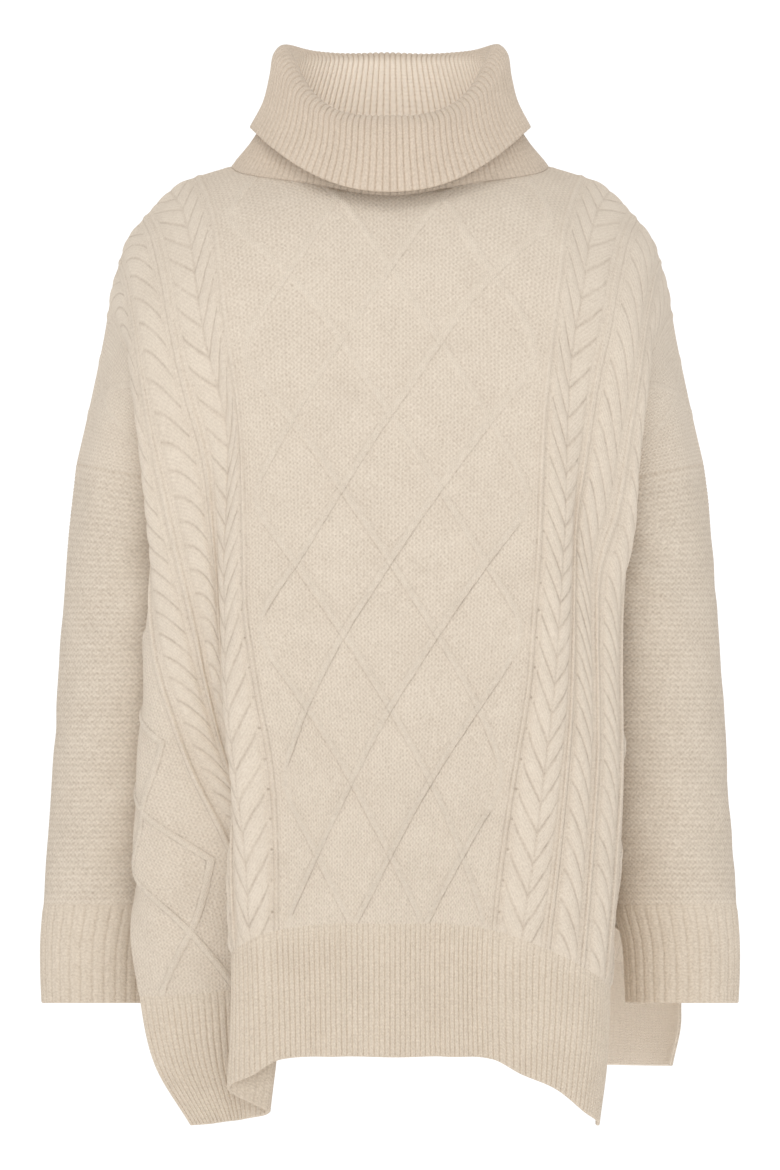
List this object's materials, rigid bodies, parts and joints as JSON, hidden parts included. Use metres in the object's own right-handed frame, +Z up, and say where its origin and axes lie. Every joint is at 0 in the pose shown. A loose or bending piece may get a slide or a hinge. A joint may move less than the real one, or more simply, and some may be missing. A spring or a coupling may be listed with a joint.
{
  "type": "turtleneck sweater",
  "caption": "Oversized cable-knit turtleneck sweater with a rolled ribbed collar, dropped shoulders, long sleeves, ribbed cuffs and a ribbed hem with side slits.",
  "frame": {"origin": "on the middle line of the body, level with the top of the shoulders at the foot of the collar, where the wearer's shoulders hold the sweater up", "axes": "+Z up, +X towards the sleeve on the right of the picture, -Y out of the front"},
  "size_m": [0.5424, 0.2905, 0.8475],
  "materials": {
    "body_knit": "soft heathered wool, cable and moss stitch",
    "sleeve_knit": "soft heathered wool, moss stitch",
    "rib_knit": "soft heathered wool, ribbed",
    "collar_knit": "soft heathered wool, ribbed"
  },
  "bodies": {
    "root": {"front_panel": "body_knit", "back_panel": "body_knit", "front_hem_rib": "rib_knit", "back_hem_rib": "rib_knit", "sleeve_left": "sleeve_knit", "sleeve_right": "sleeve_knit", "cuff_left": "rib_knit", "cuff_right": "rib_knit", "collar": "collar_knit"}
  },
  "joints": []
}
